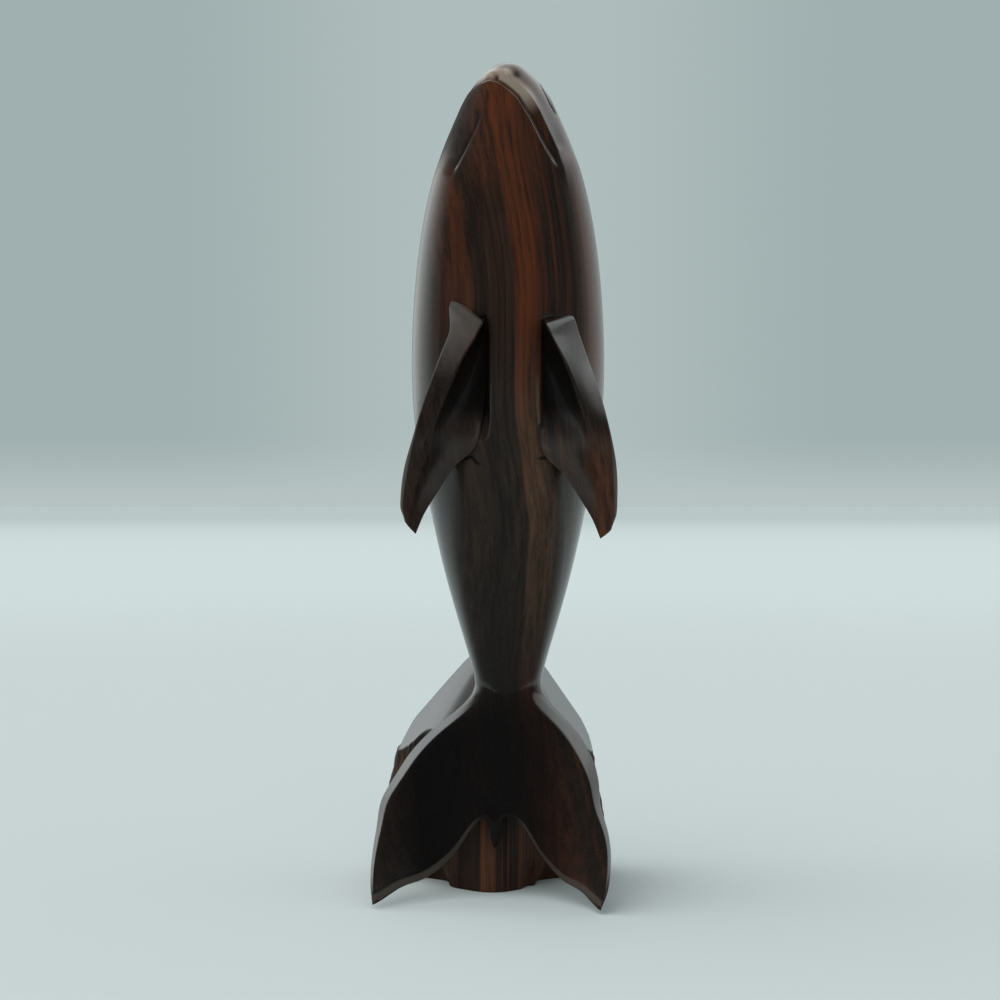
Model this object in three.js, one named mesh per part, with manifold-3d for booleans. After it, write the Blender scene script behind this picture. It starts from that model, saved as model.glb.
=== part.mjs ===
// Carved hardwood dolphin standing on its tail, on a block with natural sides.
// Millimetres, Z up. The belly faces -Y, the origin is on the floor under the body axis.
import * as THREE from 'three';
import { mergeVertices } from 'three/addons/utils/BufferGeometryUtils.js';
import Module from 'manifold-3d';

const wasm = await Module();
wasm.setup();

// Gap between seated neighbours
const fitGap = 0.3;

// Body
const height = 248.5;
const chestWidth = 58.6;
const chestBelly = 29;
const chestBack = 32;
const peduncleHeight = 60;
const peduncleWidth = 20;
const peduncleDepth = 20;
const peduncleSetback = 1;

// Flukes
const flukeSpan = 68;
const flukeReach = 47.5;
const flukeTipHeight = 1.2;
const notchHeight = 25.5;
const notchReach = 18;
const toothDrop = 10;
const toothHalf = 5;
const tailTurn = -8;
const waistHeight = 105;

// Mouth and eyes, set down from the snout tip
const mouthBelowTip = 8;
const mouthDrop = 26;
const mouthHalf = 16;
const mouthCut = 0.9;
const eyeBelowTip = 11;
const eyeBearing = 97;
const eyeRadius = 3;
const eyeDepth = 2;
const eyeDome = 0.5;

// Flippers, set at a share of the way up from the tail stock to the snout tip
const flipperRise = 0.605;
const flipperLength = 67.5;
const flipperTurn = 3.2;
const flipperSlant = 4;
const flipperPegDrop = 26;
const flipperPegBearing = 41;
const flipperPegRadius = 1.8;
const flipperPegInBody = 11;
const flipperPegInFlipper = 4;

// Dorsal fin, set in the same way
const finRise = 0.51;
const finRoot = 38;
const finHeight = 22;
const finSweep = 38;
const finThickness = 9;
const finBury = 6;
const finPegRadius = 1.8;
const finPegInBody = 11;
const finPegInFin = 5;
const finPegUpper = 16;
const finPegLower = 27;

// Base
const baseLeft = 41;
const baseRight = 30.5;
const baseFront = 13;
const baseBack = 46;
const shoulderHeight = 39.5;
const footRise = 4.5;
const moundSetback = 21;
const roofRise = 13;
const roofSlope = { left: 1.34, right: 1.67, back: 2.2 };
const roofFall = 0.3;
const roofCornerDepth = 27;
const roofSoftness = 2.2;
const bulgeHeight = 14;
const fluteDepth = 0.7;
const floorInset = 0.88;
const leftInset = 0.82;
const rightInset = 0.875;
const backInset = 0.84;
const floorTuck = { left: 0.28, right: 0.5 };
const tuckDepth = 6;
const tuckReach = 11;

// Dowel between base and tail
const dowelRadius = 4;
const dowelFoot = 14;
const dowelInTail = 28;
const dowelX = -1.5;
const dowelY = 3;

// Facets
const ringPoints = 48;
const ringsPerStation = 2;
const basePoints = 48;

// Levels that follow from these sizes
const mouthTop = height - mouthBelowTip;
const eyeHeight = height - eyeBelowTip;
const flipperTop = peduncleHeight + flipperRise * (height - peduncleHeight);
const flipperPegHeight = flipperTop - flipperPegDrop;
const finTop = peduncleHeight + finRise * (height - peduncleHeight);
const footShoulder = notchHeight + footRise;
const dowelTop = peduncleHeight + dowelInTail;

// Body stations from the snout tip down to the tail stock.
// rise is the share of the way up from the tail stock, the rest are shares of the chest sizes.
const bodyStations = [
  { rise: 1.0, half: 0.0, belly: 0.241, back: -0.218 },
  { rise: 0.997, half: 0.11, belly: 0.397, back: -0.078 },
  { rise: 0.986, half: 0.205, belly: 0.583, back: 0.07 },
  { rise: 0.955, half: 0.392, belly: 0.75, back: 0.275 },
  { rise: 0.9, half: 0.575, belly: 0.85, back: 0.505 },
  { rise: 0.821, half: 0.775, belly: 0.912, back: 0.755 },
  { rise: 0.705, half: 0.928, belly: 0.962, back: 0.922 },
  { rise: 0.553, half: 1.0, belly: 1.0, back: 1.0 },
  { rise: 0.421, half: 0.97, belly: 0.972, back: 0.985 },
  { rise: 0.305, half: 0.83, belly: 0.828, back: 0.872 },
  { rise: 0.195, half: 0.672, belly: 0.645, back: 0.705 },
  { rise: 0.11, half: 0.52, belly: 0.485, back: 0.545 },
  { rise: 0.045, half: 0.395, belly: 0.36, back: 0.415 },
];

// Fluke stations from the tail stock down to the trailing edge.
// lead and mid are shares of the way down at the leading edge and at the middle.
const flukeStations = [
  { lead: 0.0, mid: 0.0, spread: 0.0, thick: 1.0 },
  { lead: 0.1, mid: 0.18, spread: 0.19, thick: 0.9 },
  { lead: 0.22, mid: 0.34, spread: 0.5, thick: 0.78 },
  { lead: 0.375, mid: 0.5, spread: 0.735, thick: 0.65 },
  { lead: 0.545, mid: 0.66, spread: 0.89, thick: 0.52 },
  { lead: 0.73, mid: 0.815, spread: 0.985, thick: 0.4 },
  { lead: 0.9, mid: 0.935, spread: 1.0, thick: 0.27 },
  { lead: 1.0, mid: 1.0, spread: 0.95, thick: 0.13 },
];

// Flipper stations from the shoulder down to the tip.
// Pairs are x and y as shares of the chest half width and of the belly depth.
const flipperStations = [
  { down: 0.0, outer: [0.53, -0.74], crest: [0.32, -0.88], inner: [0.2, -0.8] },
  { down: 0.03, outer: [0.62, -0.8], crest: [0.34, -1.0], inner: [0.22, -0.8] },
  { down: 0.1, outer: [0.69, -0.755], crest: [0.41, -1.04], inner: [0.25, -0.84] },
  { down: 0.21, outer: [0.775, -0.72], crest: [0.535, -1.09], inner: [0.28, -0.86] },
  { down: 0.36, outer: [0.885, -0.69], crest: [0.7, -1.125], inner: [0.3, -0.86] },
  { down: 0.5, outer: [0.975, -0.69], crest: [0.82, -1.13], inner: [0.32, -0.83] },
  { down: 0.63, outer: [1.045, -0.7], crest: [0.91, -1.11], inner: [0.38, -0.79] },
  { down: 0.72, outer: [1.075, -0.725], crest: [0.96, -1.08], inner: [0.55, -0.86] },
  { down: 0.81, outer: [1.085, -0.76], crest: [0.995, -1.045], inner: [0.7, -0.89] },
  { down: 0.91, outer: [1.06, -0.825], crest: [1.005, -0.99], inner: [0.86, -0.915] },
  { down: 1.0, outer: [0.96, -0.935], crest: [0.955, -0.945], inner: [0.95, -0.94] },
];

// Dorsal fin stations from the buried root out to the tip.
// out is the share of the height; lead, trail and thick shape the blade.
const finStations = [
  { out: 0.0, lead: 0.0, trail: 1.0, thick: 1.0 },
  { out: 0.22, lead: 0.12, trail: 0.97, thick: 0.92 },
  { out: 0.42, lead: 0.3, trail: 0.9, thick: 0.78 },
  { out: 0.65, lead: 0.54, trail: 0.875, thick: 0.58 },
  { out: 0.85, lead: 0.78, trail: 0.92, thick: 0.38 },
  { out: 0.96, lead: 0.94, trail: 0.985, thick: 0.22 },
  { out: 1.0, lead: 1.02, trail: 1.02, thick: 0.1 },
];

// Floor outline of the base, anticlockwise seen from above, as shares of its four reaches
const baseOutline = [
  [-0.12, -0.97],
  [0.12, -0.62],
  [0.3, -0.2],
  [0.53, 0.0],
  [0.69, 0.18],
  [0.9, 0.34],
  [1.0, 0.56],
  [0.88, 0.82],
  [0.42, 1.0],
  [-0.25, 1.0],
  [-0.75, 0.93],
  [-1.0, 0.64],
  [-0.92, 0.4],
  [-0.795, 0.27],
  [-0.68, 0.14],
  [-0.56, -0.1],
  [-0.36, -0.55],
];

// Drop of a fluke row from its middle to its leading edge, at equal steps outward
const rowDrop = [0, 0.16, 0.55, 0.76, 0.84, 1].map((drop) => ({ drop }));

// Smooth curve through one field of a list of stations, read by share of the list
function fieldCurve(stations, field) {
  const curve = new THREE.SplineCurve(stations.map((s, i) => new THREE.Vector2(i, s[field])));
  return (share) => curve.getPoint(share).y;
}

// Closed skin over rings with equal point counts; a ring end is closed by joining opposite points
function skin(rings) {
  const count = rings[0].length;
  const position = rings.flat().flatMap((p) => [p.x, p.y, p.z]);
  const index = [];
  for (let r = 0; r + 1 < rings.length; r += 1) {
    for (let i = 0; i < count; i += 1) {
      const a = r * count + i;
      const b = r * count + ((i + 1) % count);
      index.push(a, a + count, b, b, a + count, b + count);
    }
  }
  const last = (rings.length - 1) * count;
  for (let i = 0; i < count / 2; i += 1) {
    const a = i;
    const b = i + 1;
    const c = (count - i) % count;
    const d = count - i - 1;
    if (a !== c) index.push(a, b, c, last + a, last + c, last + b);
    if (b !== d) index.push(b, d, c, last + b, last + c, last + d);
  }
  const geometry = new THREE.BufferGeometry();
  geometry.setAttribute('position', new THREE.Float32BufferAttribute(position, 3));
  geometry.setIndex(index);
  return geometry;
}

// Solid of a closed geometry
function solidOf(geometry) {
  const bare = geometry.clone();
  bare.deleteAttribute('normal');
  bare.deleteAttribute('uv');
  const welded = mergeVertices(bare, 1e-4);
  const mesh = new wasm.Mesh({
    numProp: 3,
    vertProperties: new Float32Array(welded.attributes.position.array),
    triVerts: new Uint32Array(welded.index.array),
  });
  return new wasm.Manifold(mesh);
}

// Geometry of a solid
function geometryOf(solid) {
  const mesh = solid.getMesh();
  const geometry = new THREE.BufferGeometry();
  geometry.setAttribute('position', new THREE.Float32BufferAttribute(mesh.vertProperties, 3));
  geometry.setIndex(Array.from(mesh.triVerts));
  return geometry;
}

// Copy of a closed geometry pushed outward along its normals
function grown(geometry, by) {
  const bare = mergeVertices(geometry, 1e-4);
  bare.computeVertexNormals();
  const { position, normal } = bare.attributes;
  for (let i = 0; i < position.count; i += 1) {
    position.setXYZ(
      i,
      position.getX(i) + by * normal.getX(i),
      position.getY(i) + by * normal.getY(i),
      position.getZ(i) + by * normal.getZ(i),
    );
  }
  return bare;
}

// Round peg between two points
function peg(from, to, radius) {
  const along = new THREE.Vector3().subVectors(to, from);
  const geometry = new THREE.CylinderGeometry(radius, radius, along.length(), 20);
  const turn = new THREE.Quaternion().setFromUnitVectors(
    new THREE.Vector3(0, 1, 0),
    along.clone().normalize(),
  );
  geometry.applyQuaternion(turn);
  geometry.translate((from.x + to.x) / 2, (from.y + to.y) / 2, (from.z + to.z) / 2);
  return geometry;
}

// Hole for a peg, longer and wider by the gap
function pegHole(from, to, radius) {
  const step = new THREE.Vector3().subVectors(to, from).setLength(fitGap);
  return solidOf(peg(from.clone().sub(step), to.clone().add(step), radius + fitGap));
}

const upward = new THREE.Vector3(0, 0, 1);

// Turn of the tail about the body axis, none at the waist and full at the notch
function turnAt(level) {
  const share = 1 - THREE.MathUtils.smoothstep(level, notchHeight, waistHeight);
  return THREE.MathUtils.degToRad(tailTurn) * share;
}

// Body sections: widths, depths and levels of every station
const stockFront = peduncleDepth / 2 - peduncleSetback;
const stockBack = peduncleDepth / 2 + peduncleSetback;
const upperSections = bodyStations.map((s) => {
  const front = -s.belly * chestBelly;
  const rear = s.back * chestBack;
  const level = peduncleHeight + s.rise * (height - peduncleHeight);
  const middle = (front + rear) / 2;
  return {
    half: (s.half * chestWidth) / 2,
    front: middle - front,
    rear: rear - middle,
    midY: middle,
    leadY: middle,
    midZ: level,
    leadZ: level,
    turn: turnAt(level),
    tooth: 0,
  };
});
// Middle of the tail's thickness at a share of the way down to the notch
function flukeMiddle(mid) {
  return peduncleSetback - mid ** 1.35 * notchReach;
}
const flukeSections = flukeStations.map((s) => ({
  half: (peduncleWidth + s.spread * (flukeSpan - peduncleWidth)) / 2,
  front: (s.thick * (stockFront + stockBack)) / 2,
  rear: (s.thick * (stockFront + stockBack)) / 2,
  midY: flukeMiddle(s.mid),
  leadY: peduncleSetback - s.lead ** 1.15 * flukeReach,
  midZ: peduncleHeight - s.mid * (peduncleHeight - notchHeight),
  leadZ: peduncleHeight - s.lead * (peduncleHeight - flukeTipHeight),
  turn: turnAt(peduncleHeight - s.mid * (peduncleHeight - notchHeight)),
  tooth: s.mid === 1 ? toothDrop : 0,
}));
const sections = [...upperSections, ...flukeSections];
const fields = Object.keys(sections[0]);
const curves = Object.fromEntries(fields.map((f) => [f, fieldCurve(sections, f)]));

const rowCurve = fieldCurve(rowDrop, 'drop');

// Section of the body at a share of the station list
function sectionAt(share) {
  return Object.fromEntries(fields.map((f) => [f, curves[f](share)]));
}

// Point of a section at a bearing: 0 is the belly, a quarter turn is the right side
function sectionPoint(s, bearing) {
  const side = Math.sin(bearing);
  const ahead = Math.cos(bearing);
  const out = Math.abs(side);
  const x = s.half * side;
  const y = s.midY + (s.leadY - s.midY) * out ** 1.7 - (ahead > 0 ? s.front : s.rear) * ahead;
  const tooth = s.tooth * Math.max(0, 1 - Math.abs(x) / toothHalf);
  const z = s.midZ + (s.leadZ - s.midZ) * rowCurve(out) - tooth;
  return new THREE.Vector3(x, y, z).applyAxisAngle(upward, s.turn);
}

// Share of the station list where the upper body reaches a level
function shareAtLevel(level) {
  let low = 0;
  let high = (upperSections.length - 1) / (sections.length - 1);
  for (let i = 0; i < 40; i += 1) {
    const share = (low + high) / 2;
    if (curves.midZ(share) > level) low = share;
    else high = share;
  }
  return (low + high) / 2;
}

// Point on the skin of the upper body, and its outward direction in the level plane
function skinPoint(level, bearing) {
  return sectionPoint(sectionAt(shareAtLevel(level)), bearing);
}
function skinNormal(level, bearing) {
  const step = 0.02;
  const across = skinPoint(level, bearing + step).sub(skinPoint(level, bearing - step));
  const up = skinPoint(level + step, bearing).sub(skinPoint(level - step, bearing));
  return across.cross(up).normalize();
}

// Body skin: a pole at the snout, then rings down to the trailing edge
function bodySkin() {
  const ringCount = (sections.length - 1) * ringsPerStation;
  const rings = [];
  for (let r = 0; r <= ringCount; r += 1) {
    const section = sectionAt(r / ringCount);
    rings.push(
      Array.from({ length: ringPoints }, (_, i) =>
        sectionPoint(section, (0.25 + i / ringPoints) * 2 * Math.PI),
      ),
    );
  }
  return skin(rings);
}
const body = bodySkin();
const bodySeat = solidOf(grown(body, fitGap));

// Mouth: a round-bottomed cut that runs from one corner over the snout to the other
const mouthPath = new THREE.CatmullRomCurve3(
  Array.from({ length: 15 }, (_, i) => {
    const share = (i - 7) / 7;
    const level = mouthTop - mouthDrop * (Math.hypot(share, 0.16) - 0.16) / (Math.hypot(1, 0.16) - 0.16);
    const half = curves.half(shareAtLevel(level));
    return skinPoint(level, Math.asin(THREE.MathUtils.clamp((share * mouthHalf) / half, -1, 1)));
  }),
);
const mouthShape = new THREE.Shape();
mouthShape.absarc(0, 0, mouthCut, 0, 2 * Math.PI);
const mouth = new THREE.ExtrudeGeometry(mouthShape, {
  extrudePath: mouthPath,
  steps: 36,
  curveSegments: 4,
  bevelEnabled: false,
});

// Eyes: shallow domed inlays, each in a flat-bottomed socket
function eyeShape(extra) {
  const radius = eyeRadius + extra;
  const profile = [
    new THREE.Vector2(0, -eyeDepth - extra),
    new THREE.Vector2(radius, -eyeDepth - extra),
    new THREE.Vector2(radius, extra),
    new THREE.Vector2(radius * 0.7, eyeDome * 0.55 + extra),
    new THREE.Vector2(0, eyeDome + extra),
  ];
  return new THREE.LatheGeometry(profile, 24);
}
function eyePose(side) {
  const bearing = THREE.MathUtils.degToRad(eyeBearing) * side;
  return {
    position: skinPoint(eyeHeight, bearing),
    quaternion: new THREE.Quaternion().setFromUnitVectors(
      new THREE.Vector3(0, 1, 0),
      skinNormal(eyeHeight, bearing),
    ),
  };
}
function eyeSocket(side) {
  const pose = eyePose(side);
  const geometry = eyeShape(fitGap);
  geometry.applyQuaternion(pose.quaternion);
  geometry.translate(...pose.position.toArray());
  return solidOf(geometry);
}

// Flippers: wedge blades with a flat leading facet, seated on the chest
function flipperSkin(side) {
  const rings = flipperStations.map((s) => {
    const z = flipperTop - s.down * flipperLength;
    const turn = THREE.MathUtils.degToRad(flipperTurn) * (1 - s.down);
    const place = ([x, y]) =>
      new THREE.Vector3((side * x * chestWidth) / 2, y * chestBelly, z).applyAxisAngle(upward, turn);
    const outer = place(s.outer);
    const crest = place(s.crest);
    crest.z -= flipperSlant * (1 - s.down);
    const inner = place(s.inner);
    const hollow = crest.clone().lerp(inner, 0.55);
    hollow.y += 0.12 * outer.distanceTo(crest);
    const rear = outer.clone().lerp(inner, 0.45);
    rear.y += 0.16 * outer.distanceTo(inner);
    const rearOuter = outer.clone().lerp(rear, 0.5);
    rearOuter.y += 0.05 * outer.distanceTo(inner);
    const ring = [outer, rearOuter, rear, inner, hollow, crest];
    return side > 0 ? ring : ring.reverse();
  });
  return skin(rings);
}
function flipperPegEnds(side) {
  const bearing = THREE.MathUtils.degToRad(flipperPegBearing) * side;
  const seat = skinPoint(flipperPegHeight, bearing);
  const out = skinNormal(flipperPegHeight, bearing).setZ(0).normalize();
  return [
    seat.clone().addScaledVector(out, -flipperPegInBody),
    seat.clone().addScaledVector(out, flipperPegInFlipper),
  ];
}

// Dorsal fin: a swept blade seated on the back
const finSeat = skinPoint(finTop - finRoot / 2, Math.PI).y;
function finSkin() {
  const rings = finStations.map((s) => {
    const y = finSeat - finBury + s.out * (finHeight + finBury);
    const lead = finTop - s.lead * finSweep;
    const trail = finTop - finRoot * s.trail;
    const half = (finThickness * s.thick) / 2;
    return Array.from({ length: 20 }, (_, i) => {
      const bearing = ((i + 0.5) / 20) * 2 * Math.PI;
      const along = (1 + Math.cos(bearing)) / 2;
      const x = -half * Math.sin(bearing) * (0.75 + 0.35 * along);
      return new THREE.Vector3(x, y, THREE.MathUtils.lerp(trail, lead, along));
    });
  });
  return skin(rings);
}
function finPegEnds(drop) {
  const z = finTop - drop;
  const seat = skinPoint(z, Math.PI);
  return [
    new THREE.Vector3(seat.x, seat.y - finPegInBody, z),
    new THREE.Vector3(seat.x, seat.y + finPegInFin, z),
  ];
}

// Base: flat floor face, rough sides up to a shoulder, then polished slopes that meet behind the tail stock
const heart = new THREE.Vector3(dowelX, moundSetback, 0);
// How much a place belongs to the low foot under the tail
function footShare(p) {
  return THREE.MathUtils.smoothstep(-p.y, -0.55 * moundSetback, baseFront);
}
// Height of the polished top: a left, a right and a back slope under a flat top, soft where they meet
function topLevel(p) {
  const fall = roofFall * (p.y - roofCornerDepth);
  const left = THREE.MathUtils.lerp(heart.x, -baseLeft, leftInset);
  const right = THREE.MathUtils.lerp(heart.x, baseRight, rightInset);
  const back = THREE.MathUtils.lerp(heart.y, baseBack, backInset);
  const levels = [
    shoulderHeight + roofSlope.left * (p.x - left) + fall,
    shoulderHeight + roofSlope.right * (right - p.x) + fall,
    shoulderHeight + roofSlope.back * (back - p.y),
    peduncleHeight + roofRise,
  ];
  const sum = levels.reduce((total, level) => total + Math.exp(-level / roofSoftness), 0);
  return THREE.MathUtils.lerp(-roofSoftness * Math.log(sum), footShoulder, footShare(p));
}
function baseSkin() {
  const reach = ([x, y]) =>
    new THREE.Vector3(
      x > 0 ? x * baseRight : x * baseLeft,
      y > 0 ? y * baseBack : y * baseFront,
      0,
    );
  const outline = new THREE.CatmullRomCurve3(baseOutline.map(reach), true, 'centripetal');
  const bulge = outline.getSpacedPoints(basePoints).slice(0, basePoints);
  const footTop = flukeMiddle((peduncleHeight - footShoulder) / (peduncleHeight - notchHeight));
  const floor = bulge.map((p) => {
    const q = heart.clone().lerp(p, THREE.MathUtils.lerp(floorInset, 1, footShare(p)));
    const tuck = q.x < heart.x ? floorTuck.left : floorTuck.right;
    const near = Math.exp(-(((q.y - tuckDepth) / tuckReach) ** 2));
    q.x = THREE.MathUtils.lerp(q.x, heart.x, tuck * near);
    return q;
  });
  bulge.forEach((p) => p.setZ(bulgeHeight));
  const shoulder = bulge.map((p) => {
    const foot = footShare(p);
    const across = THREE.MathUtils.smoothstep(p.x, -baseLeft / 2, baseRight / 2);
    const inset = THREE.MathUtils.lerp(leftInset, rightInset, across);
    const q = heart.clone().setZ(p.z).lerp(p, THREE.MathUtils.lerp(inset, 1, foot));
    q.y += (footTop + baseFront) * foot;
    q.z = topLevel(q);
    return q;
  });
  const rings = [floor.map(() => heart.clone())];
  [floor, bulge, shoulder].forEach((from, level, levels) => {
    const to = levels[level + 1] ?? from;
    (to === from ? [0] : [0, 0.5]).forEach((share) => {
      rings.push(
        from.map((p, i) => {
          const q = p.clone().lerp(to[i], share);
          const flute = fluteDepth * (Math.sin(i * 1.9) + 0.7 * Math.sin(i * 0.83 + 2 * level));
          const out = q.clone().sub(heart).setZ(0).normalize();
          return q.addScaledVector(out, flute * (1 - footShare(p)) * (1 - 0.3 * level));
        }),
      );
    });
  });
  [0.08, 0.2, 0.34, 0.48, 0.62, 0.76, 0.88, 1].forEach((share) => {
    rings.push(
      shoulder.map((p) => {
        const q = p.clone().lerp(heart, share);
        q.z = topLevel(q);
        return q;
      }),
    );
  });
  return skin(rings.reverse());
}

// Cut pieces
const dowelEnds = [
  new THREE.Vector3(dowelX, dowelY, dowelFoot),
  new THREE.Vector3(dowelX, dowelY, dowelTop),
];
const finPegs = { dorsal_peg_upper: finPegEnds(finPegUpper), dorsal_peg_lower: finPegEnds(finPegLower) };
const flipperPegs = { left: flipperPegEnds(-1), right: flipperPegEnds(1) };

let bodySolid = solidOf(body)
  .subtract(solidOf(mouth))
  .subtract(eyeSocket(-1))
  .subtract(eyeSocket(1))
  .subtract(pegHole(...dowelEnds, dowelRadius))
  .subtract(pegHole(...flipperPegs.left, flipperPegRadius))
  .subtract(pegHole(...flipperPegs.right, flipperPegRadius));
let finSolid = solidOf(finSkin()).subtract(bodySeat);
Object.values(finPegs).forEach((ends) => {
  bodySolid = bodySolid.subtract(pegHole(...ends, finPegRadius));
  finSolid = finSolid.subtract(pegHole(...ends, finPegRadius));
});
const leftFlipper = solidOf(flipperSkin(-1))
  .subtract(bodySeat)
  .subtract(pegHole(...flipperPegs.left, flipperPegRadius));
const rightFlipper = solidOf(flipperSkin(1))
  .subtract(bodySeat)
  .subtract(pegHole(...flipperPegs.right, flipperPegRadius));
const baseSolid = solidOf(baseSkin())
  .subtract(bodySeat)
  .subtract(pegHole(...dowelEnds, dowelRadius));

// Named pieces with their materials
const wood = (color, roughness) => new THREE.MeshStandardMaterial({ color, roughness, metalness: 0 });
function piece(name, geometry, material) {
  const mesh = new THREE.Mesh(geometry, material);
  mesh.name = name;
  return mesh;
}
const figurine = new THREE.Group();
figurine.name = 'wooden_dolphin_figurine';
figurine.add(
  piece('dolphin_body', geometryOf(bodySolid), wood(0x3a241a, 0.25)),
  piece('left_flipper', geometryOf(leftFlipper), wood(0x34221a, 0.28)),
  piece('right_flipper', geometryOf(rightFlipper), wood(0x3b261b, 0.28)),
  piece('dorsal_fin', geometryOf(finSolid), wood(0x36231a, 0.26)),
  piece('base', geometryOf(baseSolid), wood(0x3a2d25, 0.5)),
  piece('tail_dowel', peg(...dowelEnds, dowelRadius), wood(0xa0794f, 0.7)),
  piece('left_flipper_peg', peg(...flipperPegs.left, flipperPegRadius), wood(0xa0794f, 0.7)),
  piece('right_flipper_peg', peg(...flipperPegs.right, flipperPegRadius), wood(0xa0794f, 0.7)),
);
Object.entries(finPegs).forEach(([name, ends]) => {
  figurine.add(piece(name, peg(...ends, finPegRadius), wood(0xa0794f, 0.7)));
});
[['left_eye', -1], ['right_eye', 1]].forEach(([name, side]) => {
  const eye = piece(name, eyeShape(0), wood(0x120c09, 0.2));
  const pose = eyePose(side);
  eye.position.copy(pose.position);
  eye.quaternion.copy(pose.quaternion);
  figurine.add(eye);
});

export default figurine;
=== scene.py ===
# %% [markdown]
# # A carved wooden dolphin
# The figurine is a dolphin in dark polished hardwood. It stands upright on its tail, belly to the viewer,
# on a block whose sides were left rough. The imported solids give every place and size, and this script
# carves the visible pieces finer and gives them their wood. The figurine's lengths are written in
# millimetres, as a carver would say them, and become metres only when a mesh is made. The floor and the
# light are in metres.

# %% Load the frame
import math

import bpy
import numpy as np
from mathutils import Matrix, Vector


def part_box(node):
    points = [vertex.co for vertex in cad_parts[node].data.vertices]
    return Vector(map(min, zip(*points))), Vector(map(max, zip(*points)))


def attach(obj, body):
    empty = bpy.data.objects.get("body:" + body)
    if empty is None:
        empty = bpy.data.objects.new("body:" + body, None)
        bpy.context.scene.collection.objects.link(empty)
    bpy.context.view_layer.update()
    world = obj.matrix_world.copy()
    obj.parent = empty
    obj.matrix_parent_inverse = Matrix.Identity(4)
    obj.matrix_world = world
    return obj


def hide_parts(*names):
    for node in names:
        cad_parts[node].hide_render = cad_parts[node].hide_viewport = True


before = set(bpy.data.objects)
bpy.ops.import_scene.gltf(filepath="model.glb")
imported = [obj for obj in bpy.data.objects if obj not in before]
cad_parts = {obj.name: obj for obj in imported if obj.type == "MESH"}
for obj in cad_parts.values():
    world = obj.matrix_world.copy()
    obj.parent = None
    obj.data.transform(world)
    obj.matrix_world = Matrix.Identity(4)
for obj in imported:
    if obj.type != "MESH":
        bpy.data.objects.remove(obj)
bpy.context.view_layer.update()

MM = 0.001
scene = bpy.context.scene
show = scene.collection.objects.link
print("solids in the frame:", ", ".join(sorted(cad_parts)))

# %% [markdown]
# ## Camera
# The photograph was taken from straight ahead, level with the chest, and close enough for the snout to be
# seen a little from below. The focal length is kept in pixels of a picture 1000 wide, because that is
# what can be measured, and the figurine stands a few pixels right of the picture's middle.

# %% Camera
PICTURE_WIDTH = 1000
FOCAL_PIXELS = 2307
AXIS_PIXEL = 508
VIEW_DISTANCE = 700
VIEW_LEVEL = 117

camera_data = bpy.data.cameras.new("camera")
camera_data.sensor_width = 36
camera_data.lens = FOCAL_PIXELS * camera_data.sensor_width / PICTURE_WIDTH
camera_data.shift_x = (PICTURE_WIDTH / 2 - AXIS_PIXEL) / PICTURE_WIDTH
camera_data.clip_start = 0.05
camera_data.clip_end = 50
camera = bpy.data.objects.new("camera", camera_data)
camera.location = (0, -VIEW_DISTANCE * MM, VIEW_LEVEL * MM)
camera.rotation_euler = (math.pi / 2, 0, 0)
show(camera)
scene.camera = camera
print("camera lens", round(camera_data.lens, 2), "mm, distance", VIEW_DISTANCE, "mm")

# %% [markdown]
# ## Short words for node trees
# Node trees are long to write node by node. A small class keeps them readable: it adds nodes and feeds
# their sockets with numbers or with other nodes' outputs, and has the sums, smooth steps, mixes and
# noises that wood needs.


# %% Words for node trees
def srgb(red, green, blue):
    """Colour as read off a screen, 0 to 255, made linear for a shader."""
    share = np.array([red, green, blue]) / 255
    linear = np.where(share <= 0.04045, share / 12.92, ((share + 0.055) / 1.055) ** 2.4)
    return (*linear.tolist(), 1.0)


class Tree:
    """One node tree. A value is a number, a colour or the output of another node."""

    def __init__(self, tree):
        self.tree = tree

    def feed(self, socket, value):
        if isinstance(value, bpy.types.NodeSocket):
            self.tree.links.new(value, socket)
        else:
            socket.default_value = value

    def add(self, kind, feeds=None, **settings):
        node = self.tree.nodes.new(kind)
        for name, value in settings.items():
            setattr(node, name, value)
        for name, value in (feeds or {}).items():
            self.feed(node.inputs[name], value)
        return node

    def calc(self, operation, *values, clamp=False):
        feeds = dict(enumerate(values))
        return self.add("ShaderNodeMath", feeds, operation=operation, use_clamp=clamp).outputs[0]

    def plus(self, *values):
        result = values[0]
        for value in values[1:]:
            result = self.calc("ADD", result, value)
        return result

    def times(self, *values, clamp=False):
        result = values[0]
        for value in values[1:]:
            result = self.calc("MULTIPLY", result, value, clamp=clamp)
        return result

    def ease(self, value, low, high, first=0.0, last=1.0):
        """Smooth step of a value between two levels."""
        feeds = {"Value": value, "From Min": low, "From Max": high, "To Min": first, "To Max": last}
        return self.add("ShaderNodeMapRange", feeds, interpolation_type="SMOOTHSTEP").outputs[0]

    def mix(self, share, first, second):
        feeds = {"Factor": share, "A": first, "B": second}
        return self.add("ShaderNodeMix", feeds, data_type="RGBA").outputs["Result"]

    def vector(self, operation, feeds):
        return self.add("ShaderNodeVectorMath", feeds, operation=operation).outputs

    def split(self, vector):
        return self.add("ShaderNodeSeparateXYZ", {0: vector}).outputs

    def noise(self, place, seed, detail=2.0, rough=0.5):
        feeds = {"Vector": place, "W": seed, "Scale": 1.0, "Detail": detail, "Roughness": rough}
        return self.add("ShaderNodeTexNoise", feeds, noise_dimensions="4D").outputs["Fac"]


def open_group(name, kind, takes, gives):
    """Empty node group with its sockets: the tree, what comes in and where the results go."""
    group = bpy.data.node_groups.new(name, kind)
    for way, sockets in (("INPUT", takes), ("OUTPUT", gives)):
        for label, sort in sockets.items():
            group.interface.new_socket(label, in_out=way, socket_type="NodeSocket" + sort)
    tree = Tree(group)
    return tree, tree.add("NodeGroupInput").outputs, tree.add("NodeGroupOutput").inputs


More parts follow.
